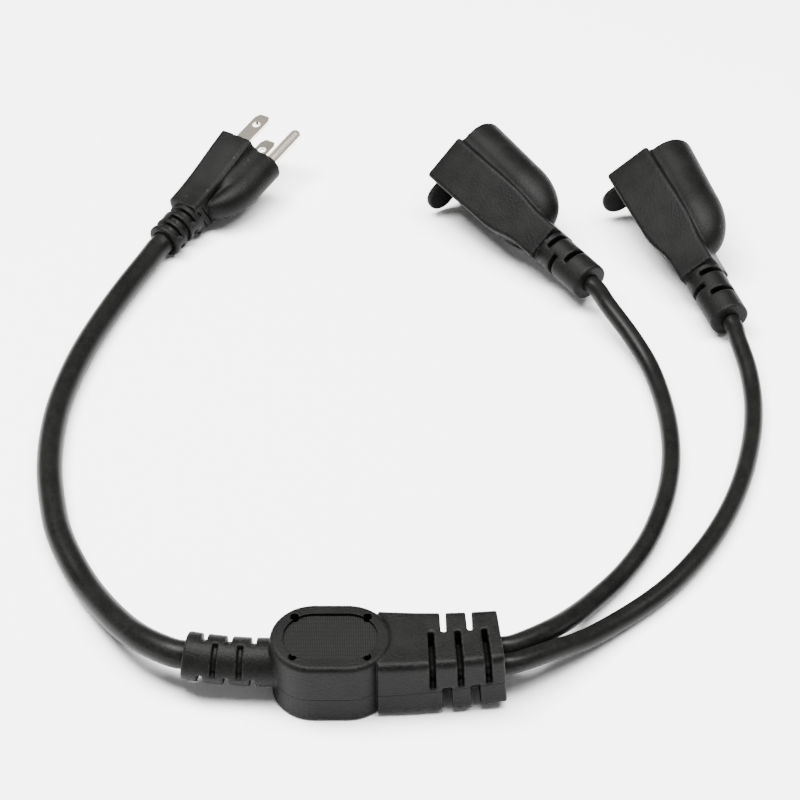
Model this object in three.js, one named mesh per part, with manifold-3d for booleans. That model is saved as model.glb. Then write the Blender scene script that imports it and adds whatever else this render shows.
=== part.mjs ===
import * as THREE from 'three';
import { mergeVertices, toCreasedNormals } from 'three/addons/utils/BufferGeometryUtils.js';
import Module from 'manifold-3d';

// A power cord splitter: one grounded plug on a thick cord, a moulded junction, and two
// thinner cords that each end in a grounded inline outlet. Millimetres, +Z up. The origin is
// the middle of the junction's underside, and +X runs along the junction to its two-cord tail.

const wasm = await Module();
wasm.setup();

// Clearances and shared sizes
const GAP = 0.3;
const FEED_CORD_DIAMETER = 8.5;
const OUTLET_CORD_DIAMETER = 6.3;
const CORD_BORE_CLEARANCE = 0.5;
const RELIEF_WALL = 1.6;
const RIM_DEPTH = 0.8;
const RIM_INSET = 0.5;

// Standard grounded plug: two flat blades and a round pin
const BLADE_SPACING = 12.7;
const BLADE_WIDTH = 6.35;
const BLADE_THICKNESS = 1.52;
const BLADE_LENGTH = 17.6;
const BLADE_TIP_LENGTH = 2.2;
const BLADE_TIP_INSET = 1.1;
const BLADE_HOLE_DIAMETER = 3.1;
const BLADE_HOLE_SETBACK = 11.9;
const PIN_OFFSET = 11.9;
const PIN_DIAMETER = 4.75;
const PIN_LENGTH = 21.4;
const PRONG_TAIL_LENGTH = 14;
const PRONG_TAIL_WIDTH = 3.4;

// Plug housing
const PLUG_BODY_LENGTH = 37.4;
const PLUG_FACE_HALF_HEIGHT = 12.1;
const PLUG_REAR_HALF_HEIGHT = 7.5;
const PLUG_TAPER_LEAD = 14;
const PLUG_BACK = 7.2;
const PLUG_RIDGE = 6.7;
const PLUG_CORNER_RADIUS = 1.6;
const PLUG_DOME_RADIUS = 6;
const PLUG_DOME_LENGTH = 32;
const PLUG_HOOD_LENGTH = 18;
const PLUG_BLEND_RADIUS = 3.2;
const PLUG_RELIEF_DIAMETER = 13.2;
const PLUG_RELIEF_LENGTH = 14.5;
const PLUG_SLOT_WIDTH = 1.8;
const PLUG_SLOT_PITCH = 4.7;
const PLUG_SLOT_SETBACK = 3.6;
const PLUG_CORD_DEPTH = 20;
const BRIDGE_DEPTH = 7;
const BRIDGE_WALL = 2.4;
const BRIDGE_SHORT_WALL = 1.5;
const FACE_RECESS = 0.2;

// Outlet housing
const OUTLET_BODY_LENGTH = 55.8;
const OUTLET_FACE_HALF_HEIGHT = 13;
const OUTLET_NECK_HALF_HEIGHT = 8;
const OUTLET_TAPER_LEAD = 4;
const OUTLET_BACK = 9.9;
const OUTLET_NECK_BACK = 7.3;
const OUTLET_RIDGE = 8.3;
const OUTLET_NECK_RIDGE = 6.6;
const OUTLET_WAIST_LENGTH = 24;
const OUTLET_NECK_LENGTH = 6;
const OUTLET_CORNER_RADIUS = 1.2;
const OUTLET_DOME_RADIUS = 9.6;
const OUTLET_DOME_OFFSET = 11;
const OUTLET_DOME_LENGTH = 48;
const OUTLET_HOOD_LENGTH = 21;
const OUTLET_BLEND_RADIUS = 2;
const OUTLET_RELIEF_DIAMETER = 14.4;
const OUTLET_RELIEF_LENGTH = 22;
const OUTLET_SLOT_WIDTH = 1.7;
const OUTLET_SLOT_PITCH = 4.8;
const OUTLET_SLOT_SETBACK = 9.6;
const OUTLET_CORD_DEPTH = 30;
const LIP_THICKNESS = 2;
const LIP_RADIUS = 6;
const LIP_REACH = 8.8;
const HOOD_END_RADIUS = 1.6;
const HOOD_END_OFFSET = 4.4;

// Outlet insert and its contacts
const INSERT_DEPTH = 26;
const INSERT_HALF_HEIGHT = 10.4;
const INSERT_BACK = 6.6;
const INSERT_RIDGE = 6.4;
const INSERT_LOBE_RADIUS = 6;
const INSERT_CORNER_RADIUS = 1.6;
const SLOT_MOUTH_WIDTH = 2.1;
const SLOT_MOUTH_DEPTH = 3;
const LINE_SLOT_LENGTH = 7;
const NEUTRAL_SLOT_LENGTH = 8.6;
const GROUND_HOLE_DIAMETER = 5.4;
const CHAMBER_WIDTH = 5.4;
const CHAMBER_LENGTH = 9.2;
const GROUND_CHAMBER_DIAMETER = 7.4;
const CONTACT_THICKNESS = 0.6;
const CONTACT_SETBACK = 0.7;
const CLIP_WIDTH = 7.6;
const CLIP_FLARE = 3;
const CLIP_THROAT = 7;
const CLIP_YOKE = 5;
const SLEEVE_LENGTH = 15;
const SLEEVE_SPLIT = 1.8;
const CONTACT_TAIL_WIDTH = 2.2;

// Junction
const JUNCTION_LENGTH = 35.3;
const JUNCTION_WIDTH = 25.4;
const JUNCTION_HEIGHT = 22.4;
const JUNCTION_EDGE_RADIUS = 1.4;
const RECESS_DEPTH = 1;
const RECESS_MARGIN = 3.9;
const PIN_HOLE_DIAMETER = 2.6;
const PIN_HOLE_SPAN = 21.2;
const PIN_HOLE_WIDTH = 15.2;
const COLLAR_DIAMETER = 14.2;
const COLLAR_LENGTH = 25;
const COLLAR_SLOT_WIDTH = 1.4;
const COLLAR_SLOT_PITCH = 3.7;
const COLLAR_SLOT_SETBACK = 5.3;
const COLLAR_SWING = 8;
const COLLAR_LIFT = 5.2;
const TAIL_LENGTH = 32;
const TAIL_ROOT_WIDTH = 22.4;
const TAIL_END_WIDTH = 19.4;
const TAIL_ROOT_HEIGHT = 21;
const TAIL_END_HEIGHT = 20.4;
const TAIL_EDGE_RADIUS = 2.2;
const TAIL_SLOT_WIDTH = 1.8;
const TAIL_LOWER_SLOT_WIDTH = 2.7;
const TAIL_SLOT_PITCH = 3.95;
const TAIL_SLOT_SETBACK = 4.7;
const TAIL_SLOT_OFFSET = 2.2;
const TAIL_SWING = 5.3;
const TAIL_LIFT = 4;
const RELIEF_SLOT_COUNT = 5;

// Junction core and splices
const CORE_LENGTH = 25.2;
const CORE_WIDTH = 17.6;
const CORE_HEIGHT = 12.4;
const CORE_EDGE_RADIUS = 2;
const SPLICE_LENGTH = 14;
const SPLICE_DIAMETER = 4;
const SPLICE_BORE = 2.4;
const SPLICE_SPACING = 5.2;
const CRIMP_SETBACK = 4;
const CRIMP_WIDTH = 2;
const CRIMP_DEPTH = 0.5;

// Where each connector lies: its face's middle, the clearance below it and its turn in degrees
const PLUG_PLACE = { x: -40.6, y: 250.2, clear: 1.4, yaw: 57.5, pitch: 8, roll: 3 };
const OUTLET_PLACES = [
  { x: 43.1, y: 239.9, clear: 0, yaw: 125.4, pitch: 3.5, roll: 41 },
  { x: 111.6, y: 232.9, clear: 0.75, yaw: 108.7, pitch: 6.5, roll: 37 },
];

// Routes of the free cords between their housings, points chosen along the table
const FEED_ROUTE = [
  [-72.1, 196.8, 5.6], [-79.2, 180.2, 4.9], [-85.2, 164.0, 4.3], [-90.0, 147.7, 4.35],
  [-93.3, 131.9, 4.35], [-95.2, 116.6, 4.35], [-95.4, 101.9, 4.35], [-94.2, 87.6, 4.35],
  [-91.6, 73.7, 4.35], [-88.0, 60.3, 4.35], [-82.3, 47.3, 4.3], [-75.2, 34.7, 4.6],
  [-63.5, 17.4, 8.4], [-55.3, 8.5, 11.0],
];
const OUTLET_ROUTES = [
  [
    [93.3, 164.8, 10.5], [100.6, 151.1, 7.6], [105.9, 139.1, 4.8], [108.8, 125.4, 3.4],
    [109.9, 110.4, 3.3], [109.3, 95.8, 3.3], [106.9, 81.7, 3.3], [102.8, 68.1, 3.3],
    [97.0, 54.8, 3.3], [88.7, 42.0, 3.3], [79.7, 30.8, 4.6], [71.6, 20.9, 7.4],
    [62.9, 11.9, 10.8],
  ],
  [
    [137.6, 151.4, 7.0], [139.6, 137.4, 5.2], [139.9, 124.6, 3.6], [138.2, 110.4, 3.3],
    [134.8, 95.8, 3.3], [130.2, 81.7, 3.3], [124.2, 68.1, 3.3], [116.6, 54.8, 3.3],
    [107.1, 42.0, 3.3], [98.3, 32.8, 3.3], [86.4, 22.5, 4.0], [74.6, 12.7, 6.4],
    [64.0, 5.0, 10.2],
  ],
];

const { degToRad: degrees, lerp, smootherstep } = THREE.MathUtils;

// Materials
const finish = (color, roughness, metalness = 0) =>
  new THREE.MeshStandardMaterial({ color, roughness, metalness });
const housingVinyl = finish(0x2b2c2a, 0.62);
const cordVinyl = finish(0x262725, 0.45);
const insertPlastic = finish(0x1d1e1e, 0.5);
const coreVinyl = finish(0x3a3b39, 0.6);
const nickelBrass = finish(0xc9c3b4, 0.3, 1);
const springBrass = finish(0xb8934a, 0.35, 1);
const tinnedCopper = finish(0xb9b6b0, 0.4, 1);

// Turns a closed geometry into a solid that can be joined and cut
function solid(geometry) {
  const bare = geometry.index ? geometry.toNonIndexed() : geometry.clone();
  bare.deleteAttribute('normal');
  bare.deleteAttribute('uv');
  const merged = mergeVertices(bare, 1e-5);
  return new wasm.Manifold(new wasm.Mesh({
    numProp: 3,
    vertProperties: new Float32Array(merged.attributes.position.array),
    triVerts: new Uint32Array(merged.index.array),
  }));
}

// Turns a solid back into a geometry with soft normals across shallow edges
function surface(body) {
  const { vertProperties, triVerts } = body.getMesh();
  const geometry = new THREE.BufferGeometry();
  geometry.setAttribute('position', new THREE.BufferAttribute(vertProperties, 3));
  geometry.setIndex(new THREE.BufferAttribute(triVerts, 1));
  return toCreasedNormals(geometry, degrees(32));
}

function piece(name, body, material) {
  const mesh = new THREE.Mesh(surface(body), material);
  mesh.name = name;
  return mesh;
}

// A closed skin over rings of points, each ring the same outline at another station along X
function loft(stations, outline) {
  const rings = stations.map((station) => outline(station));
  const count = rings[0].length;
  const positions = [];
  const faces = [];
  rings.forEach((ring, i) => {
    ring.forEach(([y, z]) => positions.push(stations[i].x, y, z));
  });
  const centre = (i) => {
    const ring = rings[i];
    const y = ring.reduce((sum, p) => sum + p[0], 0) / count;
    const z = ring.reduce((sum, p) => sum + p[1], 0) / count;
    positions.push(stations[i].x, y, z);
    return positions.length / 3 - 1;
  };
  const last = rings.length - 1;
  for (let i = 0; i < last; i += 1) {
    for (let j = 0; j < count; j += 1) {
      const a = i * count + j;
      const b = i * count + ((j + 1) % count);
      faces.push(a, b, b + count, a, b + count, a + count);
    }
  }
  const near = centre(0);
  const far = centre(last);
  for (let j = 0; j < count; j += 1) {
    const next = (j + 1) % count;
    faces.push(near, next, j);
    faces.push(far, last * count + j, last * count + next);
  }
  const geometry = new THREE.BufferGeometry();
  geometry.setAttribute('position', new THREE.Float32BufferAttribute(positions, 3));
  geometry.setIndex(faces);
  return solid(geometry);
}

// Rounded rectangle in the YZ plane, anticlockwise seen from +X
function roundedBox(y0, y1, z0, z1, radius, steps = 4) {
  const corners = [
    [y1 - radius, z1 - radius, 0],
    [y0 + radius, z1 - radius, 90],
    [y0 + radius, z0 + radius, 180],
    [y1 - radius, z0 + radius, 270],
  ];
  return corners.flatMap(([y, z, start]) => Array.from({ length: steps + 1 }, (_, k) => {
    const angle = degrees(start + 90 * k / steps);
    return [y + radius * Math.cos(angle), z + radius * Math.sin(angle)];
  }));
}

function circle(y, z, radius, sides = 24) {
  return Array.from({ length: sides }, (_, k) => {
    const angle = 2 * Math.PI * k / sides;
    return [y + radius * Math.cos(angle), z + radius * Math.sin(angle)];
  });
}

// A box given by its low and high corners
function block(low, high) {
  const size = high.map((value, i) => value - low[i]);
  const geometry = new THREE.BoxGeometry(...size);
  geometry.translate(...low.map((value, i) => value + size[i] / 2));
  return solid(geometry);
}

// A round bar along X
function bar(x0, x1, radius, y = 0, z = 0, sides = 24) {
  return loft([{ x: x0 }, { x: x1 }], () => circle(y, z, radius, sides));
}

function joined(bodies) {
  return bodies.reduce((sum, body) => sum.add(body));
}

// Quarter slots of a strain relief: each bites one pair of opposite quarters down to the core.
// With side 1 the first slot opens the upper quarter at +Y and the lower one at -Y.
function quarterSlots({ centres, width, lowerWidth = width, side, reach, core, split = 0, level = 0 }) {
  const quarter = (x, across, high, wide) => block(
    [x - wide / 2, across > 0 ? split : split - reach, high ? level : level - reach],
    [x + wide / 2, across > 0 ? split + reach : split, high ? level + reach : level],
  );
  const cutters = centres.flatMap((x, i) => {
    const across = i % 2 === 0 ? side : -side;
    return [quarter(x, across, true, width), quarter(x, -across, false, lowerWidth)];
  });
  return joined(cutters).subtract(core);
}

// Evenly spaced centres, counted from the first one
function spaced(first, pitch, count) {
  return Array.from({ length: count }, (_, i) => first + i * pitch);
}

// Evenly spaced stations along X, each with its own section sizes
function stations(from, to, count, shape) {
  return Array.from({ length: count + 1 }, (_, i) => {
    const x = lerp(from, to, i / count);
    return { x, ...shape(x) };
  });
}

// Section of a wide flat-sided box: its back faces +Y and its ridge side faces the dome at -Y
function boxSection({ back, ridge, height, radius }) {
  return roundedBox(-ridge, back, -height, height, radius);
}

// A housing's box from its rear end to its face, with a narrow rounded rim round the face
function housingBox(length, count, shape) {
  const edge = shape(0);
  const rim = {
    x: 0,
    height: edge.height - RIM_INSET,
    back: edge.back - RIM_INSET,
    ridge: edge.ridge - RIM_INSET,
    radius: edge.radius,
  };
  return loft([...stations(-length, -RIM_DEPTH, count, shape), rim], boxSection);
}

// Stations of the dome over the ground contact: straight behind the face, then a hood that
// closes along an ellipse on the box. Share t runs from 1 at the hood's end to 0 at its start.
function domeStations({ radius, offset, length, hood }) {
  const closing = [1, 0.96, 0.87, 0.72, 0.5, 0.25, 0].map((t) => {
    const share = Math.sqrt(1 - t * t);
    return {
      x: -length + hood * (1 - t),
      y: -lerp(HOOD_END_OFFSET, offset, share),
      r: lerp(HOOD_END_RADIUS, radius, share),
      t,
    };
  });
  const front = [-RIM_DEPTH, 0].map((x) => ({
    x, y: -offset, r: x < 0 ? radius : radius - RIM_INSET, t: 0,
  }));
  return [...closing, ...front];
}

// Hollow fillets on both sides where the dome rises from the box
function domeFillets(dome, shape, blend) {
  const rings = domeStations(dome).filter(({ t }) => t <= 0.5);
  return loft(rings, ({ x, y, r, t }) => {
    const { ridge, height } = shape(x);
    const reach = blend * (1 - t) ** 2;
    const foot = -ridge - reach;
    const side = Math.sqrt(r * r - (y - foot) ** 2);
    const top = Math.min(side + reach, height - RIM_INSET - 0.1);
    const hollow = Array.from({ length: 6 }, (_, k) => {
      const angle = degrees(18 * k);
      return [foot + reach * Math.cos(angle), side + (top - side) * (1 - Math.sin(angle))];
    });
    const upper = [[-ridge + 1, top], ...hollow];
    return [...upper, ...upper.map(([py, pz]) => [py, -pz]).reverse()];
  });
}

// Plug: housing, bridge, blades and pin, in the frame of its face (+X out of the face)
function buildPlug() {
  const group = new THREE.Group();
  const reliefEnd = -(PLUG_BODY_LENGTH + PLUG_RELIEF_LENGTH);
  const shape = (x) => ({
    height: lerp(
      PLUG_FACE_HALF_HEIGHT,
      PLUG_REAR_HALF_HEIGHT,
      smootherstep(-x, -PLUG_TAPER_LEAD, PLUG_BODY_LENGTH + 2),
    ),
    back: PLUG_BACK,
    ridge: PLUG_RIDGE,
    radius: PLUG_CORNER_RADIUS,
  });
  const dome = {
    radius: PLUG_DOME_RADIUS, offset: PIN_OFFSET, length: PLUG_DOME_LENGTH, hood: PLUG_HOOD_LENGTH,
  };
  const form = joined([
    housingBox(PLUG_BODY_LENGTH, 6, shape),
    loft(domeStations(dome), ({ y, r }) => circle(y, 0, r, 28)),
    domeFillets(dome, shape, PLUG_BLEND_RADIUS),
    buildRelief(reliefEnd, -PLUG_BODY_LENGTH, PLUG_RELIEF_DIAMETER, FEED_CORD_DIAMETER, {
      width: PLUG_SLOT_WIDTH, pitch: PLUG_SLOT_PITCH, setback: PLUG_SLOT_SETBACK, side: 1,
    }),
  ]);

  const bladeZ = BLADE_SPACING / 2;
  const slack = PRONG_TAIL_WIDTH / 2 + GAP;
  const tails = [1, -1].map((side) => block(
    [-PRONG_TAIL_LENGTH - GAP, -slack, side * bladeZ - BLADE_THICKNESS / 2 - GAP],
    [-BRIDGE_DEPTH, slack, side * bladeZ + BLADE_THICKNESS / 2 + GAP],
  ));
  const pinTail = bar(-PRONG_TAIL_LENGTH - GAP, -BRIDGE_DEPTH, slack, -PIN_OFFSET, 0, 12);
  const bore = bar(reliefEnd - 1, -PLUG_CORD_DEPTH + GAP, FEED_CORD_DIAMETER / 2 + CORD_BORE_CLEARANCE);
  const hollows = joined([buildBridgeForm(GAP), bore, pinTail, ...tails]);
  group.add(piece('plug_body', form.subtract(hollows), housingVinyl));

  // The bridge holds the three prongs while the housing is moulded round it
  const passages = joined([
    ...[1, -1].map((side) => block(
      [-BRIDGE_DEPTH - 1, -BLADE_WIDTH / 2 - GAP, side * bladeZ - BLADE_THICKNESS / 2 - GAP],
      [1, BLADE_WIDTH / 2 + GAP, side * bladeZ + BLADE_THICKNESS / 2 + GAP],
    )),
    bar(-BRIDGE_DEPTH - 1, 1, PIN_DIAMETER / 2 + GAP, -PIN_OFFSET, 0, 20),
  ]);
  group.add(piece('plug_bridge', buildBridgeForm(0).subtract(passages), insertPlastic));

  group.add(piece('line_blade', buildBlade(bladeZ), nickelBrass));
  group.add(piece('neutral_blade', buildBlade(-bladeZ), nickelBrass));
  group.add(piece('ground_pin', buildGroundPin(), nickelBrass));
  return group;
}

// Round strain relief, slotted by quarters, from its free end to the housing
function buildRelief(end, root, diameter, cordDiameter, slots) {
  const r = diameter / 2;
  const form = loft([{ x: end, r: r - RIM_INSET }, { x: end + RIM_DEPTH, r }, { x: root + 1, r }],
    (station) => circle(0, 0, station.r, 28));
  const core = bar(end - 1, root + 1, cordDiameter / 2 + RELIEF_WALL);
  const centres = spaced(end + slots.setback, slots.pitch, 3);
  return form.subtract(quarterSlots({ ...slots, centres, reach: r + 1, core }));
}

// Outer form of the plug's inner bridge, grown by a clearance for the pocket that holds it
function buildBridgeForm(grow) {
  const face = grow > 0 ? 1 : -FACE_RECESS;
  const rear = -BRIDGE_DEPTH - grow;
  const half = BLADE_SPACING / 2 + BLADE_THICKNESS / 2 + BRIDGE_WALL + grow;
  const reach = BLADE_WIDTH / 2 + BRIDGE_SHORT_WALL + grow;
  const lobeRadius = PIN_DIAMETER / 2 + BRIDGE_SHORT_WALL + grow;
  const box = loft([{ x: rear }, { x: face }], () => roundedBox(-reach, reach, -half, half, 1.4));
  const lobe = bar(rear, face, lobeRadius, -PIN_OFFSET, 0, 24);
  const web = block([rear, -PIN_OFFSET, -PIN_DIAMETER / 2 - grow], [face, 0, PIN_DIAMETER / 2 + grow]);
  return joined([box, lobe, web]);
}

// A flat blade with a chamfered tip, a round hole and a narrow tail inside the housing
function buildBlade(z) {
  const w = BLADE_WIDTH / 2;
  const t = PRONG_TAIL_WIDTH / 2;
  const shoulder = BLADE_LENGTH - BLADE_TIP_LENGTH;
  const side = [
    [-PRONG_TAIL_LENGTH, t], [-BRIDGE_DEPTH, t], [-BRIDGE_DEPTH, w],
    [shoulder, w], [BLADE_LENGTH, w - BLADE_TIP_INSET],
  ];
  const outline = [...side.map(([x, y]) => [x, -y]), ...side.reverse()];
  const shape = new THREE.Shape(outline.map(([x, y]) => new THREE.Vector2(x, y)));
  const hole = new THREE.Path();
  hole.absarc(BLADE_HOLE_SETBACK, 0, BLADE_HOLE_DIAMETER / 2, 0, 2 * Math.PI, true);
  shape.holes.push(hole);
  const geometry = new THREE.ExtrudeGeometry(shape, {
    depth: BLADE_THICKNESS, bevelEnabled: false, curveSegments: 16,
  });
  geometry.translate(0, 0, z - BLADE_THICKNESS / 2);
  return solid(geometry);
}

// A round pin with a rounded nose and a narrower tail, turned about its own axis
function buildGroundPin() {
  const r = PIN_DIAMETER / 2;
  const nose = Array.from({ length: 5 }, (_, k) => {
    const angle = degrees(18 * k);
    return [r * Math.cos(angle), PIN_LENGTH - r + r * Math.sin(angle)];
  });
  const profile = [
    [0, -PRONG_TAIL_LENGTH], [PRONG_TAIL_WIDTH / 2, -PRONG_TAIL_LENGTH],
    [PRONG_TAIL_WIDTH / 2, -BRIDGE_DEPTH], [r, -BRIDGE_DEPTH], ...nose, [0, PIN_LENGTH],
  ];
  return turned(profile, 20).translate(0, -PIN_OFFSET, 0);
}

// A profile of radius and distance, turned about the X axis
function turned(profile, sides) {
  const points = profile.map(([radius, along]) => new THREE.Vector2(radius, along));
  const geometry = new THREE.LatheGeometry(points, sides);
  geometry.rotateZ(-Math.PI / 2);
  return solid(geometry);
}

// Outlet: housing with a pull lip, insert and three contacts, in the frame of its face
function buildOutlet(prefix) {
  const group = new THREE.Group();
  const reliefEnd = -(OUTLET_BODY_LENGTH + OUTLET_RELIEF_LENGTH);
  const waistEnd = OUTLET_BODY_LENGTH - OUTLET_NECK_LENGTH;
  const waistStart = waistEnd - OUTLET_WAIST_LENGTH;
  const shape = (x) => {
    const waist = smootherstep(-x, waistStart, waistEnd);
    return {
      height: lerp(
        OUTLET_FACE_HALF_HEIGHT,
        OUTLET_NECK_HALF_HEIGHT,
        smootherstep(-x, -OUTLET_TAPER_LEAD, OUTLET_BODY_LENGTH + OUTLET_TAPER_LEAD),
      ),
      back: lerp(OUTLET_BACK, OUTLET_NECK_BACK, waist),
      ridge: lerp(OUTLET_RIDGE, OUTLET_NECK_RIDGE, waist),
      radius: OUTLET_CORNER_RADIUS,
    };
  };
  const dome = {
    radius: OUTLET_DOME_RADIUS,
    offset: OUTLET_DOME_OFFSET,
    length: OUTLET_DOME_LENGTH,
    hood: OUTLET_HOOD_LENGTH,
  };
  // The pull lip stands out of the flat back, in line with the face
  const lipEnd = OUTLET_BACK + LIP_REACH;
  const lip = loft([{ x: -LIP_THICKNESS }, { x: 0 }], () => [
    ...circle(lipEnd - LIP_RADIUS, 0, LIP_RADIUS, 32).filter(([y]) => y >= lipEnd - LIP_RADIUS - 1e-6)
      .sort((a, b) => a[1] - b[1]),
    [OUTLET_BACK - 2, LIP_RADIUS], [OUTLET_BACK - 2, -LIP_RADIUS],
  ]);
  const form = joined([
    housingBox(OUTLET_BODY_LENGTH, 10, shape),
    loft(domeStations(dome), ({ y, r }) => circle(y, 0, r, 32)),
    domeFillets(dome, shape, OUTLET_BLEND_RADIUS),
    lip,
    buildRelief(reliefEnd, -OUTLET_BODY_LENGTH, OUTLET_RELIEF_DIAMETER, OUTLET_CORD_DIAMETER, {
      width: OUTLET_SLOT_WIDTH, pitch: OUTLET_SLOT_PITCH, setback: OUTLET_SLOT_SETBACK, side: -1,
    }),
  ]);
  const boreRadius = OUTLET_CORD_DIAMETER / 2 + CORD_BORE_CLEARANCE;
  const bore = bar(reliefEnd - 1, -OUTLET_CORD_DEPTH + GAP, boreRadius, 0, 0, 20);
  const housing = form.subtract(buildInsertForm(GAP)).subtract(bore);
  group.add(piece(`${prefix}_body`, housing, housingVinyl));

  // The hard insert carries the slots and a chamber behind each for its contact
  const bladeZ = BLADE_SPACING / 2;
  const mouth = (z, length) => block(
    [-SLOT_MOUTH_DEPTH - 1, -length / 2, z - SLOT_MOUTH_WIDTH / 2],
    [1, length / 2, z + SLOT_MOUTH_WIDTH / 2],
  );
  const chamber = (z) => block(
    [-INSERT_DEPTH - 1, -CHAMBER_LENGTH / 2, z - CHAMBER_WIDTH / 2],
    [-SLOT_MOUTH_DEPTH, CHAMBER_LENGTH / 2, z + CHAMBER_WIDTH / 2],
  );
  const insert = buildInsertForm(0).subtract(joined([
    mouth(bladeZ, NEUTRAL_SLOT_LENGTH), mouth(-bladeZ, LINE_SLOT_LENGTH),
    chamber(bladeZ), chamber(-bladeZ),
    bar(-SLOT_MOUTH_DEPTH - 1, 1, GROUND_HOLE_DIAMETER / 2, -PIN_OFFSET, 0, 20),
    bar(-INSERT_DEPTH - 1, -SLOT_MOUTH_DEPTH, GROUND_CHAMBER_DIAMETER / 2, -PIN_OFFSET, 0, 20),
  ]));
  group.add(piece(`${prefix}_insert`, insert, insertPlastic));
  group.add(piece(`${prefix}_neutral_contact`, buildClip(bladeZ), springBrass));
  group.add(piece(`${prefix}_line_contact`, buildClip(-bladeZ), springBrass));
  group.add(piece(`${prefix}_ground_contact`, buildSleeve(), springBrass));
  return group;
}

// Outer form of the outlet's insert, grown by a clearance for the pocket that holds it
function buildInsertForm(grow) {
  const face = grow > 0 ? 1 : -FACE_RECESS;
  const rear = -INSERT_DEPTH - grow;
  const half = INSERT_HALF_HEIGHT + grow;
  const box = loft([{ x: rear }, { x: face }],
    () => roundedBox(-INSERT_RIDGE - grow, INSERT_BACK + grow, -half, half, INSERT_CORNER_RADIUS));
  return box.add(bar(rear, face, INSERT_LOBE_RADIUS + grow, -PIN_OFFSET, 0, 28));
}

// A folded brass clip: two leaves that pinch the blade, joined behind, with a tail
function buildClip(z) {
  const t = CONTACT_THICKNESS;
  const front = -SLOT_MOUTH_DEPTH - CONTACT_SETBACK;
  const rear = -INSERT_DEPTH + 1;
  const wide = CHAMBER_WIDTH / 2 - GAP - 0.2;
  const outer = [
    [front, wide - t / 2], [front - CLIP_FLARE, BLADE_THICKNESS / 2 + t],
    [front - CLIP_THROAT, wide], [rear + CLIP_YOKE, wide],
  ];
  const inner = outer.map(([x, y]) => [x, y - t]);
  const yoke = [[rear + CLIP_YOKE - 1, wide], [rear + CLIP_YOKE - 2, t / 2], [rear, t / 2]];
  const upper = [...outer, ...yoke];
  const mirrored = (points) => points.map(([x, y]) => [x, -y]);
  const shape = new THREE.Shape([
    ...upper, ...mirrored(upper).reverse(), ...mirrored(inner), [rear + CLIP_YOKE, 0], ...inner.reverse(),
  ].map(([x, y]) => new THREE.Vector2(x, y)));
  const geometry = new THREE.ExtrudeGeometry(shape, { depth: CLIP_WIDTH, bevelEnabled: false });
  geometry.translate(0, 0, -CLIP_WIDTH / 2);
  geometry.rotateX(Math.PI / 2);
  geometry.translate(0, 0, z);
  return solid(geometry);
}

// A rolled brass sleeve, split along one side, that grips the round pin
function buildSleeve() {
  const outer = GROUND_CHAMBER_DIAMETER / 2 - GAP - 0.2;
  const inner = outer - CONTACT_THICKNESS;
  const front = -SLOT_MOUTH_DEPTH - CONTACT_SETBACK;
  const rear = front - SLEEVE_LENGTH;
  const tube = bar(rear, front, outer).subtract(bar(rear - 1, front + 1, inner));
  const split = block([rear + 4, 0, -SLEEVE_SPLIT / 2], [front + 1, outer + 1, SLEEVE_SPLIT / 2]);
  const tail = block(
    [-INSERT_DEPTH + 1, -outer, -CONTACT_TAIL_WIDTH / 2],
    [rear + 1, -inner, CONTACT_TAIL_WIDTH / 2],
  );
  return tube.subtract(split).add(tail).translate(0, -PIN_OFFSET, 0);
}

// The junction's ends flex with their cords: a point past the root at +X or -X swings towards
// +Y and lifts, along an arc that ends at the given angles, and runs on straight beyond it
function flex([x, y, z], way, length, swing, lift) {
  const root = JUNCTION_LENGTH / 2;
  const level = JUNCTION_HEIGHT / 2;
  const run = Math.max(way * x - root, 0);
  const bent = Math.min(run, length);
  const yaw = degrees(swing) * bent / length;
  const pitch = degrees(lift) * bent / length;
  const rise = z - level;
  const out = run - y * Math.sin(yaw) - rise * Math.sin(pitch);
  return [
    run > 0 ? way * (root + out) : x,
    y * Math.cos(yaw) + bent * Math.sin(yaw / 2) + (run - bent) * Math.sin(yaw),
    level + rise * Math.cos(pitch) + bent * Math.sin(pitch / 2) + (run - bent) * Math.sin(pitch),
  ];
}

const flexTail = (point) => flex(point, 1, TAIL_LENGTH, TAIL_SWING, TAIL_LIFT);
const flexCollar = (point) => flex(point, -1, COLLAR_LENGTH, COLLAR_SWING, COLLAR_LIFT);

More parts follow.
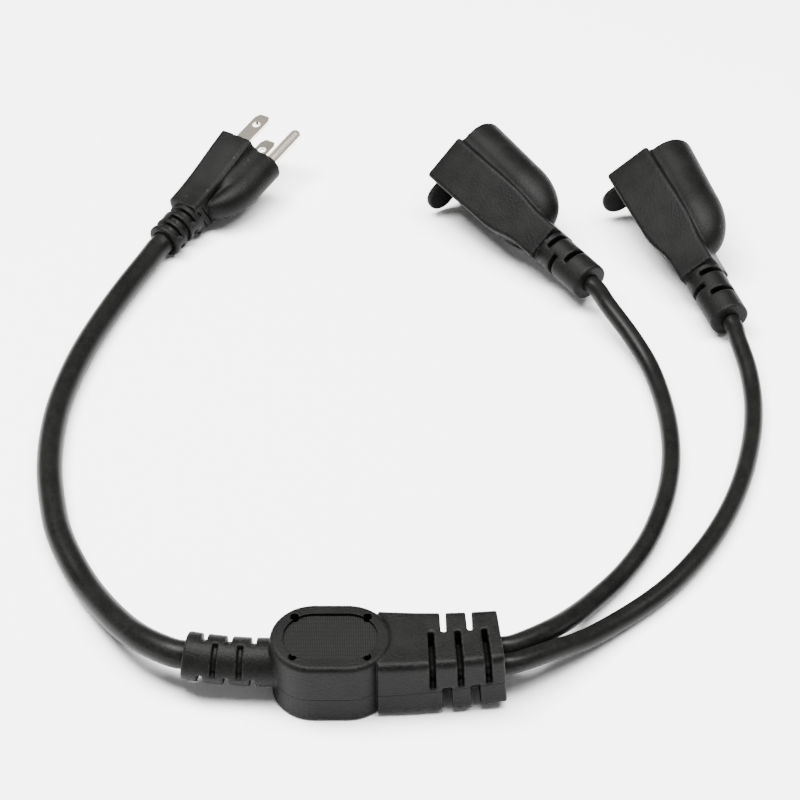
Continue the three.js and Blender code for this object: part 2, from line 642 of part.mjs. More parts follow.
// Junction: moulded body with collar and slotted tail, inner core and three splices
function buildJunction() {
  const group = new THREE.Group();
  const level = JUNCTION_HEIGHT / 2;
  const half = JUNCTION_LENGTH / 2;
  const inset = JUNCTION_EDGE_RADIUS;
  const pad = plate(stadium(JUNCTION_LENGTH - 2 * inset, JUNCTION_WIDTH - 2 * inset), inset, {
    depth: JUNCTION_HEIGHT - 2 * inset,
    curveSegments: 12,
    bevelThickness: inset,
    bevelSize: inset,
    bevelSegments: 3,
  });
  const recess = plate(
    stadium(JUNCTION_LENGTH - 2 * RECESS_MARGIN, JUNCTION_WIDTH - 2 * RECESS_MARGIN),
    JUNCTION_HEIGHT - RECESS_DEPTH,
    { depth: RECESS_DEPTH + 1, bevelEnabled: false, curveSegments: 12 },
  );

  // Four moulding pin holes reach down from the top to the inner core
  const coreTop = level + CORE_HEIGHT / 2;
  const pinHoles = joined([-1, 1].flatMap((sx) => [-1, 1].map((sy) => {
    const r = PIN_HOLE_DIAMETER / 2;
    const hole = new THREE.CylinderGeometry(r, r, JUNCTION_HEIGHT - coreTop + 2, 16);
    hole.rotateX(Math.PI / 2);
    hole.translate(sx * PIN_HOLE_SPAN / 2, sy * PIN_HOLE_WIDTH / 2, (JUNCTION_HEIGHT + coreTop) / 2);
    return solid(hole);
  })));

  // Round collar where the thick cord comes in
  const collarRadius = COLLAR_DIAMETER / 2;
  const collarEnd = -half - COLLAR_LENGTH;
  const collarForm = loft([
    { x: collarEnd, r: collarRadius - RIM_INSET }, { x: collarEnd + RIM_DEPTH, r: collarRadius },
    ...stations(collarEnd + COLLAR_LENGTH / 4, -half, 3, () => ({ r: collarRadius })),
    { x: -half + 4, r: collarRadius },
  ], ({ r }) => circle(0, level, r, 28));
  const collarSlots = quarterSlots({
    centres: spaced(collarEnd + COLLAR_SLOT_SETBACK, COLLAR_SLOT_PITCH, RELIEF_SLOT_COUNT),
    width: COLLAR_SLOT_WIDTH,
    side: 1,
    reach: collarRadius + 1,
    core: bar(collarEnd - 1, -half + 1, FEED_CORD_DIAMETER / 2 + RELIEF_WALL, 0, level),
    level,
  });
  const boreEnd = CORE_LENGTH / 2 + 0.5;
  const feedBoreRadius = FEED_CORD_DIAMETER / 2 + CORD_BORE_CLEARANCE;
  const feedBore = boredAlong(collarEnd - 1, -boreEnd, feedBoreRadius, 0, 24);

  // Rectangular tail where the two thin cords leave side by side
  const tailEnd = half + TAIL_LENGTH;
  const tailSize = (x) => {
    const share = (x - half) / TAIL_LENGTH;
    return {
      width: lerp(TAIL_ROOT_WIDTH, TAIL_END_WIDTH, share),
      height: lerp(TAIL_ROOT_HEIGHT, TAIL_END_HEIGHT, share),
    };
  };
  const tailForm = loft([
    ...stations(half - 4, tailEnd - RIM_DEPTH, 5, tailSize),
    { x: tailEnd, width: TAIL_END_WIDTH - 2 * RIM_INSET, height: TAIL_END_HEIGHT - 2 * RIM_INSET },
  ], ({ width, height }) => roundedBox(
    -width / 2, width / 2, level - height / 2, level + height / 2, TAIL_EDGE_RADIUS,
  ));
  const cordY = (OUTLET_CORD_DIAMETER + GAP) / 2;
  const coreReach = OUTLET_CORD_DIAMETER / 2 + RELIEF_WALL;
  const firstSlot = tailEnd - TAIL_SLOT_SETBACK - (RELIEF_SLOT_COUNT - 1) * TAIL_SLOT_PITCH;
  const tailSlots = quarterSlots({
    centres: spaced(firstSlot, TAIL_SLOT_PITCH, RELIEF_SLOT_COUNT),
    width: TAIL_SLOT_WIDTH,
    lowerWidth: TAIL_LOWER_SLOT_WIDTH,
    side: -1,
    reach: TAIL_ROOT_WIDTH,
    core: loft([{ x: half - 1 }, { x: tailEnd + 1 }], () => roundedBox(
      -cordY - coreReach, cordY + coreReach, level - coreReach, level + coreReach, coreReach / 2,
    )),
    split: TAIL_SLOT_OFFSET,
    level,
  });
  const outletBoreRadius = OUTLET_CORD_DIAMETER / 2 + CORD_BORE_CLEARANCE;
  const outletBores = [1, -1].map((side) => (
    boredAlong(boreEnd, tailEnd + 1, outletBoreRadius, side * cordY, 20)
  ));

  const body = joined([
    pad.subtract(recess).subtract(pinHoles),
    collarForm.subtract(collarSlots),
    tailForm.subtract(tailSlots),
  ]).subtract(joined([buildCoreForm(GAP), feedBore, ...outletBores]));
  const bent = body.warp((point) => {
    const moved = flexTail(flexCollar([...point]));
    moved.forEach((value, i) => {
      point[i] = value;
    });
  });
  group.add(piece('junction_body', bent, housingVinyl));

  const channels = joined([-1, 0, 1].map((k) => bar(
    -CORE_LENGTH / 2 - 1, CORE_LENGTH / 2 + 1, SPLICE_DIAMETER / 2 + GAP, k * SPLICE_SPACING, level, 16,
  )));
  group.add(piece('junction_core', buildCoreForm(0).subtract(channels), coreVinyl));
  ['line_splice', 'ground_splice', 'neutral_splice'].forEach((name, i) => {
    group.add(piece(name, buildSplice((i - 1) * SPLICE_SPACING, level), tinnedCopper));
  });
  return group;
}

// A bore along X at the junction's middle height, in short lengths so that it can bend
function boredAlong(from, to, radius, y, sides) {
  const rings = stations(from, to, 6, () => ({}));
  return loft(rings, () => circle(y, JUNCTION_HEIGHT / 2, radius, sides));
}

// A flat outline extruded upwards from a given height
function plate(shape, z, options) {
  const geometry = new THREE.ExtrudeGeometry(shape, options);
  geometry.translate(0, 0, z);
  return solid(geometry);
}

function stadium(length, width) {
  const r = width / 2;
  const shape = new THREE.Shape();
  shape.moveTo(-length / 2 + r, -r);
  shape.lineTo(length / 2 - r, -r);
  shape.absarc(length / 2 - r, 0, r, -Math.PI / 2, Math.PI / 2, false);
  shape.lineTo(-length / 2 + r, r);
  shape.absarc(-length / 2 + r, 0, r, Math.PI / 2, 3 * Math.PI / 2, false);
  return shape;
}

// The block that holds the splices before the body is moulded over it
function buildCoreForm(grow) {
  const x = CORE_LENGTH / 2 + grow;
  const y = CORE_WIDTH / 2 + grow;
  const outline = roundedBox(-x, x, -y, y, CORE_EDGE_RADIUS, 5);
  const shape = new THREE.Shape(outline.map(([px, py]) => new THREE.Vector2(px, py)));
  const bottom = JUNCTION_HEIGHT / 2 - CORE_HEIGHT / 2 - grow;
  return plate(shape, bottom, { depth: CORE_HEIGHT + 2 * grow, bevelEnabled: false });
}

// A crimped barrel that joins one conductor of all three cords
function buildSplice(y, z) {
  const r = SPLICE_DIAMETER / 2;
  const b = SPLICE_BORE / 2;
  const h = SPLICE_LENGTH / 2;
  const crimp = (middle) => [
    [r, middle - CRIMP_WIDTH / 2], [r - CRIMP_DEPTH, middle], [r, middle + CRIMP_WIDTH / 2],
  ];
  return turned([
    [b, -h], [r, -h], ...crimp(-h + CRIMP_SETBACK), ...crimp(h - CRIMP_SETBACK), [r, h], [b, h], [b, -h],
  ], 16).translate(0, y, z);
}

// A round cord along a smooth curve through its points, with a section every few diameters
function buildCord(name, points, diameter, sides, stepDiameters) {
  const curve = new THREE.CatmullRomCurve3(points.map((p) => new THREE.Vector3(...p)));
  const steps = Math.round(curve.getLength() / (diameter * stepDiameters));
  const section = new THREE.Shape(
    circle(0, 0, diameter / 2, sides).map(([x, y]) => new THREE.Vector2(x, y)),
  );
  const geometry = new THREE.ExtrudeGeometry(section, { steps, bevelEnabled: false, extrudePath: curve });
  return piece(name, solid(geometry), cordVinyl);
}

// Sets a connector's group down: the face's lowest corner is the given clearance above the table
function place(group, spot, halfHeight, back) {
  const roll = degrees(spot.roll);
  const pitch = degrees(spot.pitch);
  const drop = (halfHeight * Math.cos(roll) + back * Math.sin(roll)) * Math.cos(pitch);
  group.position.set(spot.x, spot.y, drop + spot.clear);
  group.rotation.set(-roll, -pitch, degrees(spot.yaw), 'ZYX');
  group.updateMatrixWorld(true);
}

// Points along a connector's axis, from inside its housing to just past its strain relief
function leadOut(group, depth, bodyLength, reliefLength) {
  const end = -bodyLength - reliefLength;
  return [-depth, -bodyLength, end, end - 4]
    .map((x) => group.localToWorld(new THREE.Vector3(x, 0, 0)).toArray());
}

const splitter = new THREE.Group();
splitter.add(buildJunction());

const plug = buildPlug();
place(plug, PLUG_PLACE, PLUG_FACE_HALF_HEIGHT, PLUG_BACK);
splitter.add(plug);

// Points along the junction's axis, from just past one end to the inner core
const leadIn = (way, length, y, bend) => [length + 3, length, length * 0.75, length / 2, length / 4, 0]
  .map((run) => JUNCTION_LENGTH / 2 + run)
  .concat(CORE_LENGTH / 2 + 1)
  .map((x) => bend([way * x, y, JUNCTION_HEIGHT / 2]));

splitter.add(buildCord('feed_cord', [
  ...leadOut(plug, PLUG_CORD_DEPTH, PLUG_BODY_LENGTH, PLUG_RELIEF_LENGTH),
  ...FEED_ROUTE,
  ...leadIn(-1, COLLAR_LENGTH, 0, flexCollar),
], FEED_CORD_DIAMETER, 12, 2));

OUTLET_PLACES.forEach((spot, i) => {
  const name = `outlet_${i + 1}`;
  const outlet = buildOutlet(name);
  place(outlet, spot, OUTLET_FACE_HALF_HEIGHT, OUTLET_BACK);
  splitter.add(outlet);
  const y = (i === 0 ? 1 : -1) * (OUTLET_CORD_DIAMETER + GAP) / 2;
  splitter.add(buildCord(`${name}_cord`, [
    ...leadOut(outlet, OUTLET_CORD_DEPTH, OUTLET_BODY_LENGTH, OUTLET_RELIEF_LENGTH),
    ...OUTLET_ROUTES[i],
    ...leadIn(1, TAIL_LENGTH, y, flexTail),
  ], OUTLET_CORD_DIAMETER, 10, 2));
});

export default splitter;
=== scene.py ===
"""A grounded power cord splitter: a plug on a thick cord, a moulded junction, and two thinner
cords that end in inline outlets. Pieces are shaped in millimetres and set down in metres."""

import math

import bpy
from mathutils import Matrix, Vector


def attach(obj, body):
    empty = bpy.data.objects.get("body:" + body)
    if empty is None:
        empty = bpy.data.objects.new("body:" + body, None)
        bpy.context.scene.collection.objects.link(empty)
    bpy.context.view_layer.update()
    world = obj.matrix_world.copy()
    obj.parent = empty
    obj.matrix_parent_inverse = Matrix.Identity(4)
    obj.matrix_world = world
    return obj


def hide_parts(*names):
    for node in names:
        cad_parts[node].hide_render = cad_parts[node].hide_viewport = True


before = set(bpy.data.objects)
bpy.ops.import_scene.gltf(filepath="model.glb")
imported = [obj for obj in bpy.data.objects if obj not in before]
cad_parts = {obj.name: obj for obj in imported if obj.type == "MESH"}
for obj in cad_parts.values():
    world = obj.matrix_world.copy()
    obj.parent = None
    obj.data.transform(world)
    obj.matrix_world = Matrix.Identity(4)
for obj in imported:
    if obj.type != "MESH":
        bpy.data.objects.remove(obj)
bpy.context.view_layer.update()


# Camera, light and floor
# The splitter lies on white paper under three round softboxes, one high on each side and the
# widest straight above, and is seen from in front and above through a long lens.

CAMERA_PLACE, CAMERA_TILT = (0.020, -0.38154, 0.45735), 48
CAMERA_LENS, CAMERA_SENSOR, CAMERA_NEAR = 90, 36, 0.01
PAPER_SIZE, PAPER_DROP, PAPER_WHITE, PAPER_ROUGHNESS = 6, 0.0002, 0.97, 0.85
ROOM_STRENGTH = 0.32

bpy.ops.object.select_all(action="DESELECT")
bpy.ops.object.camera_add(location=CAMERA_PLACE, rotation=(math.radians(CAMERA_TILT), 0, 0))
camera = bpy.context.object
camera.data.lens = CAMERA_LENS
camera.data.sensor_width = CAMERA_SENSOR
camera.data.clip_start = CAMERA_NEAR
bpy.context.scene.camera = camera

bpy.ops.object.select_all(action="DESELECT")
bpy.ops.mesh.primitive_plane_add(size=PAPER_SIZE, location=(0, 0, -PAPER_DROP))
floor = bpy.context.object
floor.name = "floor"
paper = bpy.data.materials.new("paper")
paper.use_nodes = True
paper_shader = paper.node_tree.nodes["Principled BSDF"]
paper_shader.inputs["Base Color"].default_value = (PAPER_WHITE, PAPER_WHITE, PAPER_WHITE, 1)
paper_shader.inputs["Roughness"].default_value = PAPER_ROUGHNESS
floor.data.materials.append(paper)


def add_softbox(name, location, target, size, power):
    bpy.ops.object.select_all(action="DESELECT")
    bpy.ops.object.light_add(type="AREA", location=location)
    light = bpy.context.object
    light.name = name
    light.data.shape = "DISK"
    light.data.size = size
    light.data.energy = power
    aim = Vector(target) - Vector(location)
    light.rotation_euler = aim.to_track_quat("-Z", "Y").to_euler()


add_softbox("key", (-0.50, 0.25, 1.20), (0, 0.12, 0), 0.6, 44)
add_softbox("fill", (0.60, 0.05, 1.20), (0, 0.1, 0), 0.6, 24)
add_softbox("top", (0.0, 0.05, 1.4), (0.02, 0.12, 0), 0.8, 60)
world = bpy.data.worlds.new("studio")
bpy.context.scene.world = world
world.use_nodes = True
world.node_tree.nodes["Background"].inputs["Color"].default_value = (1, 1, 1, 1)
world.node_tree.nodes["Background"].inputs["Strength"].default_value = ROOM_STRENGTH


# Plug prongs
# Two blades stamped from brass strip and a turned ground pin, all nickel-plated and pressed into
# the bridge before moulding. Their meshes are the frame's own, with softened blade edges.

MM = 0.001
PLUG_PLACE = {"x": -40.6, "y": 250.2, "clear": 1.4, "yaw": 57.5, "pitch": 8, "roll": 3}
BLADE_EDGE, BLADE_EDGE_ANGLE = 0.2, 25
METAL_LINE_DEPTH = 0.000002


class Wire:
    """A shader socket that takes arithmetic."""

    def __init__(self, finish, socket):
        self.finish = finish
        self.socket = socket

    def math(self, operation, *others):
        inputs = dict(enumerate((self, *others)))
        return self.finish.node("ShaderNodeMath", {"operation": operation}, inputs, "Value")

    def __add__(self, other):
        return self.math("ADD", other)

    def __sub__(self, other):
        return self.math("SUBTRACT", other)

    def __mul__(self, other):
        return self.math("MULTIPLY", other)

    def __rsub__(self, other):
        return self * -1 + other

    __radd__ = __add__
    __rmul__ = __mul__

    def __abs__(self):
        return self.math("ABSOLUTE")

    def between(self, low, high):
        """Runs from 0 at low to 1 at high, smoothly."""
        inputs = {"Value": self, "From Min": low, "From Max": high}
        return self.finish.node(
            "ShaderNodeMapRange", {"interpolation_type": "SMOOTHSTEP"}, inputs, "Result"
        )


class Finish:
    """A procedural material, on the place of a piece before it was set down or on the object's
    own coordinates, both in millimetres."""

    def __init__(self, name, rest=True):
        self.material = bpy.data.materials.new(name)
        self.material.use_nodes = True
        self.tree = self.material.node_tree
        self.shader = self.tree.nodes["Principled BSDF"]
        if rest:
            self.place = self.node("ShaderNodeAttribute", {"attribute_name": "rest"}, {}, "Vector")
        else:
            metres = self.node("ShaderNodeTexCoord", {}, {}, "Object")
            self.place = self.node(
                "ShaderNodeVectorMath", {"operation": "SCALE"}, {0: metres, "Scale": 1 / MM}, "Vector"
            )
        self.x, self.y, self.z = self.node("ShaderNodeSeparateXYZ", {}, {0: self.place}, "X", "Y", "Z")

    def fill(self, node, inputs):
        for key, value in inputs.items():
            if isinstance(value, Wire):
                self.tree.links.new(value.socket, node.inputs[key])
            else:
                node.inputs[key].default_value = value

    def node(self, kind, settings, inputs, *outputs):
        """Adds a node, makes its settings, fills its sockets and returns the outputs named."""
        made = self.tree.nodes.new(kind)
        for name, value in settings.items():
            setattr(made, name, value)
        self.fill(made, inputs)
        wires = [Wire(self, made.outputs[key]) for key in outputs]
        return wires[0] if len(wires) == 1 else wires

    def noise(self, scale, detail, stretch=(1, 1, 1), turn=0):
        """Noise drawn out by the stretch along axes turned about Z, in degrees."""
        place = self.node("ShaderNodeMapping", {"vector_type": "TEXTURE"}, {
            "Vector": self.place, "Rotation": (0, 0, math.radians(turn)), "Scale": stretch,
        }, "Vector")
        inputs = {"Vector": place, "Scale": scale, "Detail": detail}
        return self.node("ShaderNodeTexNoise", {}, inputs, "Fac")

    def edges(self):
        """Brings out convex edges of the mesh, from 0 to 1."""
        return self.node("ShaderNodeNewGeometry", {}, {}, "Pointiness").between(0.51, 0.56)

    def mix(self, factor, low, high):
        """Blends two colours, each three numbers or a link."""
        low, high = (shade if isinstance(shade, Wire) else (*shade, 1) for shade in (low, high))
        inputs = {"Factor": factor, "A": low, "B": high}
        return self.node("ShaderNodeMix", {"data_type": "RGBA"}, inputs, "Result")

    def surface(self, colour, roughness, height, depth, others):
        """Feeds the shader; height runs from 0 to 1 and depth is in metres."""
        normal = self.node("ShaderNodeBump", {}, {"Height": height, "Distance": depth}, "Normal")
        self.fill(self.shader, {"Base Color": colour, "Roughness": roughness, "Normal": normal})
        self.fill(self.shader, others)
        return self.material


def metal(name, color, roughness, turn=0):
    """Drawn and stamped metal: fine lines along the piece and cloudy tarnish."""
    made = Finish(name, rest=False)
    lines = made.noise(3, 2, (12, 0.5, 0.5), turn)
    cloud = made.noise(0.35, 3)
    dull = tuple(value * 0.82 for value in color)
    shade = made.mix(cloud.between(0.35, 0.75), color, dull)
    sheen = lines * 0.12 + cloud * 0.1 + (roughness - 0.11)
    return made.surface(shade, sheen, lines, METAL_LINE_DEPTH, {"Metallic": 1})


def clad(node, material):
    """Gives a node of the frame its material."""
    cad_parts[node].data.materials.clear()
    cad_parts[node].data.materials.append(material)


nickel = metal("nickel", (0.97, 0.88, 0.76), 0.24, PLUG_PLACE["yaw"])
for prong in ("line_blade", "neutral_blade", "ground_pin"):
    clad(prong, nickel)
for blade in ("line_blade", "neutral_blade"):
    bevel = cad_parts[blade].modifiers.new("soft_edges", "BEVEL")
    bevel.width = BLADE_EDGE * MM
    bevel.segments = 3
    bevel.limit_method = "ANGLE"
    bevel.angle_limit = math.radians(BLADE_EDGE_ANGLE)


# Plug bridge
# Hard black plastic that holds the three prongs at their spacing, moulded first and sunk in the
# housing's face. Its mesh is the frame's own.

VINYL_SPECULAR = 0.07
VINYL_GRAIN_DEPTH = 0.00014


def vinyl(name, low, high, base_roughness, grain=1.0, marks=None, rest=True):
    """Moulded black vinyl or plastic: a fine spark-eroded pebble, a faint mottle, an uneven sheen
    and scuffed edges. Marks add a height, a painted shade for what lies deep and a painted highlight
    on raised tops."""
    made = Finish(name, rest)
    mottle = made.noise(0.12, 3)
    pebble = made.noise(1.7, 2)
    scuff = made.edges() * made.noise(0.9, 4).between(0.35, 0.7)
    body = made.mix(mottle.between(0.3, 0.7) * 0.6 + pebble.between(0.35, 0.7) * 0.4, low, high)
    wear_and_painted_light = made.mix(scuff, body, tuple(value * 3.5 for value in high))
    height = pebble * grain
    if marks is not None:
        depth, shade, painted_highlight = marks(made)
        height = height + depth
        # Painted shade: what the marks call deep is drawn darker.
        wear_and_painted_light = made.mix(shade, wear_and_painted_light, tuple(value * 0.3 for value in low))
        # Painted highlight: the raised tops that the marks pick out are drawn lighter.
        wear_and_painted_light = made.mix(painted_highlight, wear_and_painted_light, tuple(value * 8 for value in high))
    sheen = pebble * 0.18 + mottle * 0.08 + scuff * 0.06 + (base_roughness - 0.13)
    others = {"Specular IOR Level": VINYL_SPECULAR}
    return made.surface(wear_and_painted_light, sheen, height, VINYL_GRAIN_DEPTH, others)


hard_plastic = vinyl(
    "hard_plastic", (0.0028, 0.0028, 0.0028), (0.0042, 0.0042, 0.0042), 0.45, 0.15, rest=False
)
clad("plug_bridge", hard_plastic)


# Plug housing
# Soft black vinyl, moulded over the bridge and the end of the thick cord. A flat wedge and a
# round dome over the ground pin melt together, and a ribbed strain relief ends it.

GAP = 0.3
CORD_GRIP = 0.25
FEED_DIAMETER = 8.5
BLADE_SPACING, BLADE_WIDTH, BLADE_THICKNESS = 12.7, 6.35, 1.52
PIN_OFFSET, PIN_DIAMETER = 11.9, 4.75
BRIDGE_DEPTH, BRIDGE_WALL, BRIDGE_SHORT_WALL, BRIDGE_CORNER = 7, 2.4, 1.5, 1.4

PLUG_BODY, PLUG_RELIEF, PLUG_CORD_DEPTH, PLUG_CORD_Y = 37.4, 14.5, 20, -1.1
PLUG_FACE_HALF, PLUG_REAR_HALF, PLUG_TAPER_LEAD = 12.1, 7.5, 14
PLUG_BACK, PLUG_BACK_TAPER, PLUG_RIDGE, PLUG_CORNER = 7.2, 1.6, 6.7, 1.8
PLUG_FLAT_SLOPE = 0.08
PLUG_DOME_RADIUS, PLUG_DOME_LENGTH, PLUG_HOOD_LENGTH = 6, 32, 18
PLUG_HOLLOW, PLUG_HOLLOW_FROM, PLUG_HOLLOW_TO = 5, -14, -27
PLUG_RELIEF_DIAMETER, PLUG_RELIEF_WALL = 13.2, 0.5
PLUG_SLOT_SETBACK, PLUG_SLOT_PITCH, PLUG_SLOT_WIDTH = 3.1, 4.2, 2.6
PLUG_WEB_WIDTH, PLUG_WEB_TURNS = 2.8, (0, 115, 0)
PLUG_SKIN, PLUG_SOFTENING = 0.28, 5
FLANK_MARKS, FLANK_MARK_LOW, FLANK_MARK_HIGH, FLANK_MARK_LEAN = (-35.2, -32.4), -5.2, 4.6, -18
FLANK_MARK_WIDTH, FLANK_MARK_DEPTH = 0.56, 0.6

HOOD_END_OFFSET, HOOD_END_RADIUS, HOOD_STEPS = 4.4, 1.6, 24
SLOT_REACH = 9

# How far a cutter runs on past a face, so that it opens it
PAST_FACE = 2
HOUSING_LOW, HOUSING_HIGH = (0.0012, 0.0012, 0.0011), (0.0045, 0.0045, 0.0042)
HOUSING_ROUGHNESS = 0.5


def lerp(a, b, t):
    return a + (b - a) * t


def smootherstep(x, low, high):
    t = min(max((x - low) / (high - low), 0), 1)
    return t * t * t * (t * (t * 6 - 15) + 10)


def mesh_object(name, points, faces):
    mesh = bpy.data.meshes.new(name)
    mesh.from_pydata(points, [], faces)
    mesh.validate()
    made = bpy.data.objects.new(name, mesh)
    bpy.context.scene.collection.objects.link(made)
    return made


def only(thing):
    bpy.ops.object.select_all(action="DESELECT")
    thing.select_set(True)
    bpy.context.view_layer.objects.active = thing


def apply_all(thing):
    only(thing)
    for modifier in list(thing.modifiers):
        bpy.ops.object.modifier_apply(modifier=modifier.name)


def loft(name, rings):
    """A closed skin over rings of points along X, each ring as (x, [(y, z), ...])."""
    count = len(rings[0][1])
    points = [(x, y, z) for x, ring in rings for y, z in ring]
    faces = []
    for i in range(len(rings) - 1):
        for j in range(count):
            a, b = i * count + j, i * count + (j + 1) % count
            faces.append((a, b, b + count, a + count))
    last = (len(rings) - 1) * count
    faces.append(tuple(range(count - 1, -1, -1)))
    faces.append(tuple(last + j for j in range(count)))
    return mesh_object(name, points, faces)


def circle(y, z, radius, sides=64):
    turn = 2 * math.pi / sides
    return [
        (y + radius * math.cos(turn * k), z + radius * math.sin(turn * k)) for k in range(sides)
    ]


def rounded_box(y0, y1, z0, z1, radius, steps=8):
    corners = [
        (y1 - radius, z1 - radius, 0), (y0 + radius, z1 - radius, 90),
        (y0 + radius, z0 + radius, 180), (y1 - radius, z0 + radius, 270),
    ]
    return [
        (y + radius * math.cos(math.radians(start + 90 * k / steps)),
         z + radius * math.sin(math.radians(start + 90 * k / steps)))
        for y, z, start in corners for k in range(steps + 1)
    ]


def bar(name, x0, x1, radius, y=0, z=0):
    return loft(name, [(x0, circle(y, z, radius)), (x1, circle(y, z, radius))])


def block(name, low, high):
    ring = [(low[1], low[2]), (high[1], low[2]), (high[1], high[2]), (low[1], high[2])]
    return loft(name, [(low[0], ring), (high[0], ring)])


def combine(body, tool, operation):
    """Adds the tool to the body or takes it away, and removes the tool."""
    only(body)
    boolean = body.modifiers.new("combine", "BOOLEAN")
    boolean.operation = operation
    boolean.solver = "EXACT"
    boolean.object = tool
    bpy.ops.object.modifier_apply(modifier=boolean.name)
    bpy.data.objects.remove(tool)


def cut(body, *tools):
    for tool in tools:
        combine(body, tool, "DIFFERENCE")
    return body


def join(name, parts):
    bpy.ops.object.select_all(action="DESELECT")
    for part in parts:
        part.select_set(True)
    bpy.context.view_layer.objects.active = parts[0]
    bpy.ops.object.join()
    parts[0].name = name
    return parts[0]


def mould(body, grain, rounds):
    """Melts overlapping forms into one skin with soft moulded edges and joints."""
    remesh = body.modifiers.new("remesh", "REMESH")
    remesh.mode = "VOXEL"
    remesh.voxel_size = grain
    smooth = body.modifiers.new("smooth", "SMOOTH")
    smooth.factor = 0.5
    smooth.iterations = rounds
    apply_all(body)
    bpy.ops.object.shade_smooth()
    return body


def keep_rest(body):
    """Stores each point's place before any bend or turn, for the material to use."""
    rest = body.data.attributes.new("rest", "FLOAT_VECTOR", "POINT")
    flat = [value for vertex in body.data.vertices for value in vertex.co]
    rest.data.foreach_set("vector", flat)


def set_down(body, matrix):
    """Moves the mesh to its place, from millimetres to metres; the object stays at the origin."""
    body.data.transform(Matrix.Scale(MM, 4) @ matrix)
    body.data.update()


def connector_matrix(spot, half, back):
    """Turns a connector and lays it on the table, or its clearance above it."""
    roll, pitch, yaw = (math.radians(spot[key]) for key in ("roll", "pitch", "yaw"))
    height = (half * math.cos(roll) + back * math.sin(roll)) * math.cos(pitch) + spot["clear"]
    turn = Matrix.Rotation(yaw, 4, "Z") @ Matrix.Rotation(-pitch, 4, "Y")
    turn = turn @ Matrix.Rotation(-roll, 4, "X")
    return Matrix.Translation((spot["x"], spot["y"], height)) @ turn


def dome_rings(radius, offset, length, hood, taper):
    """Circles of the dome: a hood that rises from the box, then a bar that widens to the face."""
    rings = []
    rear_offset, rear_radius = offset - taper, radius - taper * 0.4
    for k in range(HOOD_STEPS + 1):
        angle = math.pi / 2 * k / HOOD_STEPS
        share = math.sin(angle)
        x = -length + hood * (1 - math.cos(angle))
        y = -lerp(HOOD_END_OFFSET, rear_offset, share)
        rings.append((x, y, lerp(HOOD_END_RADIUS, rear_radius, share)))
    for share in (0.25, 0.5, 0.75, 1):
        x = lerp(-length + hood, 0, share)
        rings.append((x, -lerp(rear_offset, offset, share), lerp(rear_radius, radius, share)))
    return rings


def fillet_rings(rings, shape, blend, fade_from, fade_to):
    """Hollow fillets on both sides where the dome rises from the box."""
    made = []
    for x, y, r in rings:
        if x < fade_to:
            continue
        ridge, height = shape(x)["ridge"], shape(x)["height"]
        reach = blend * smootherstep(x, fade_to - 1, fade_from) + 0.2
        foot = max(-ridge - reach, y)
        side = math.sqrt(max(r * r - (y - foot) ** 2, 0.01))
        top = min(side + 1.3 * reach, height - 1.4)
        upper = [(-ridge + 1, top)]
        for k in range(11):
            angle = math.radians(9 * k)
            rise = (top - side) * (1 - math.sin(angle))
            upper.append((foot + reach * math.cos(angle), side + rise))
        made.append((x, upper + [(py, -pz) for py, pz in reversed(upper)]))
    return made


def box_rings(length, shape, slope=0, count=40):
    """Sections of the flat box; slope lowers its flats towards the ridge side."""
    rings = []
    for k in range(count + 1):
        x = lerp(-length, 0, k / count)
        s = shape(x)
        ring = rounded_box(-s["ridge"], s["back"], -s["height"], s["height"], s["radius"])
        span = s["back"] + s["ridge"]
        rings.append((x, [(y, z * (1 - slope * (s["back"] - y) / span)) for y, z in ring]))
    return rings


def relief_form(end, root, diameter, y=0, flat=0):
    """A round bar with a softened end; flat draws its section towards a square."""
    def ring(radius):
        points = []
        power = 2 + flat
        for py, pz in circle(0, 0, 1, 96):
            stretch = (abs(py) ** power + abs(pz) ** power) ** (-1 / power)
            points.append((y + radius * py * stretch, radius * pz * stretch))
        return points
    r = diameter / 2
    return loft("relief", [
        (end, ring(r - 0.7)), (end + 0.25, ring(r - 0.25)), (end + 0.7, ring(r)), (root + 2, ring(r)),
    ])


def ring_slots(centres, width, core, web, turns, y):
    """Cutters for a strain relief: each ring is cut all round down to the core, but for two
    opposite webs that turn from ring to ring."""
    cutters = []
    beyond = SLOT_REACH + 1
    for x, turn in zip(centres, turns):
        ring = bar("slot", x - width / 2, x + width / 2, SLOT_REACH, y)
        keep = block("web", (x - width, -beyond, -web / 2), (x + width, beyond, web / 2))
        turned = Matrix.Rotation(math.radians(-turn), 4, "X")
        keep.data.transform(Matrix.Translation((0, y, 0)) @ turned)
        cutters.append(cut(ring, keep))
    return cut(join("slots", cutters), core)


def plug_shape(x):
    taper = smootherstep(-x, -PLUG_TAPER_LEAD, PLUG_BODY + 2)
    return {
        "height": lerp(PLUG_FACE_HALF, PLUG_REAR_HALF, taper),
        "back": lerp(PLUG_BACK, PLUG_BACK - PLUG_BACK_TAPER, -x / PLUG_BODY),
        "ridge": PLUG_RIDGE,
        "radius": PLUG_CORNER,
    }


def bridge_form(grow):
    """The bridge's own outline, grown by the gap round it."""
    half = BLADE_SPACING / 2 + BLADE_THICKNESS / 2 + BRIDGE_WALL + grow
    reach = BLADE_WIDTH / 2 + BRIDGE_SHORT_WALL + grow
    rear, pin = -BRIDGE_DEPTH - grow, PIN_DIAMETER / 2
    ring = rounded_box(-reach, reach, -half, half, BRIDGE_CORNER)
    form = loft("box", [(rear, ring), (PAST_FACE, ring)])
    combine(form, bar("lobe", rear, PAST_FACE, pin + BRIDGE_SHORT_WALL + grow, -PIN_OFFSET), "UNION")
    web = block("web", (rear, -PIN_OFFSET, -pin - grow), (PAST_FACE, 0, pin + grow))
    combine(form, web, "UNION")
    return form


plug_matrix = connector_matrix(PLUG_PLACE, PLUG_FACE_HALF, PLUG_BACK)
housing_vinyl = vinyl("housing_vinyl", HOUSING_LOW, HOUSING_HIGH, HOUSING_ROUGHNESS)

